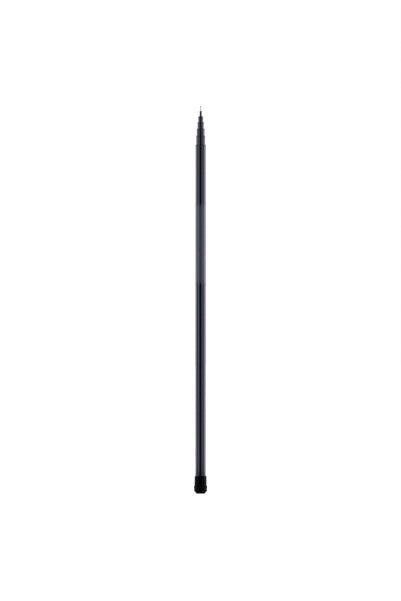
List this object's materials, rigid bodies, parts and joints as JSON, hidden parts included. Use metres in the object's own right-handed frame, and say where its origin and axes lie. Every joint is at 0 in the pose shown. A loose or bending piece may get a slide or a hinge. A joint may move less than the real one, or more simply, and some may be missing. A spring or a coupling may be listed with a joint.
{
  "type": "telescopic pole",
  "caption": "Slim telescopic hand pole, closed: nested tapered tubes that slide out of a parallel handle, a fine tip with a line connector, and a screw-on rubber-footed butt cap.",
  "frame": {"origin": "centre of the butt cap's flat foot, which is the object's lowest point", "axes": "+Z along the pole's axis from butt to tip; +X the way the line connector's notch faces"},
  "size_m": [0.0412, 0.0412, 1.18],
  "materials": {
    "lacquered_composite": "clear-coated dark navy carbon composite",
    "graphic_print": "plain dark grey print under the gloss clear coat",
    "whipping_varnish": "black thread whipping under gloss varnish",
    "moulded_plastic": "black moulded nylon",
    "rubber": "smooth black rubber",
    "foam": "closed-cell black foam",
    "tip_fibre": "ground solid fibre, thin grey varnish",
    "connector_nylon": "dark grey moulded nylon"
  },
  "bodies": {
    "handle": {"handle_tube": "lacquered_composite", "handle_top_ring": "whipping_varnish", "graphic_band": "graphic_print", "handle_lower_whipping": "whipping_varnish", "thread_bush": "moulded_plastic", "ferrule_sleeve": "rubber"},
    "cushion": {"cap_cushion": "foam"},
    "cap": {"cap_core": "moulded_plastic", "cap_foot": "rubber", "cap_seal": "rubber"},
    "section_2": {"section_2_tube": "lacquered_composite", "section_2_top_ring": "whipping_varnish"},
    "section_3": {"section_3_tube": "lacquered_composite", "section_3_top_ring": "whipping_varnish"},
    "section_4": {"section_4_tube": "lacquered_composite", "section_4_top_ring": "whipping_varnish"},
    "section_5": {"section_5_tube": "lacquered_composite", "section_5_top_ring": "whipping_varnish"},
    "section_6": {"section_6_tube": "lacquered_composite", "section_6_top_ring": "whipping_varnish"},
    "tip": {"tip_tube": "lacquered_composite", "tip_solid": "tip_fibre", "tip_splice_whipping": "whipping_varnish", "connector_stem": "connector_nylon"},
    "line_lock": {"connector_lock": "connector_nylon"}
  },
  "joints": [
    {"name": "section_2_slide", "type": "slide", "parent": "handle", "child": "section_2", "axis": [0, 0, 1], "range_m": [0, 0.8714]},
    {"name": "section_3_slide", "type": "slide", "parent": "section_2", "child": "section_3", "axis": [0, 0, 1], "range_m": [0, 0.9189]},
    {"name": "section_4_slide", "type": "slide", "parent": "section_3", "child": "section_4", "axis": [0, 0, 1], "range_m": [0, 0.9599]},
    {"name": "section_5_slide", "type": "slide", "parent": "section_4", "child": "section_5", "axis": [0, 0, 1], "range_m": [0, 0.9999]},
    {"name": "section_6_slide", "type": "slide", "parent": "section_5", "child": "section_6", "axis": [0, 0, 1], "range_m": [0, 1.0374]},
    {"name": "tip_slide", "type": "slide", "parent": "section_6", "child": "tip", "axis": [0, 0, 1], "range_m": [0, 1.0739]},
    {"name": "line_lock_slide", "type": "slide", "parent": "tip", "child": "line_lock", "axis": [0, 0, -1], "range_m": [0, 0.0044]},
    {"name": "cap_travel", "type": "slide", "parent": "handle", "child": "cushion", "axis": [0, 0, -1], "range_m": [0, 0.01188]},
    {"name": "cap_turn", "type": "hinge", "parent": "cushion", "child": "cap", "pos_m": [0, 0, 0], "axis": [0, 0, -1], "range_deg": [0, 1710]}
  ],
  "couplings": [
    {"joint": "cap_travel", "follows": "cap_turn", "m_per_rad": 0.00039789}
  ]
}
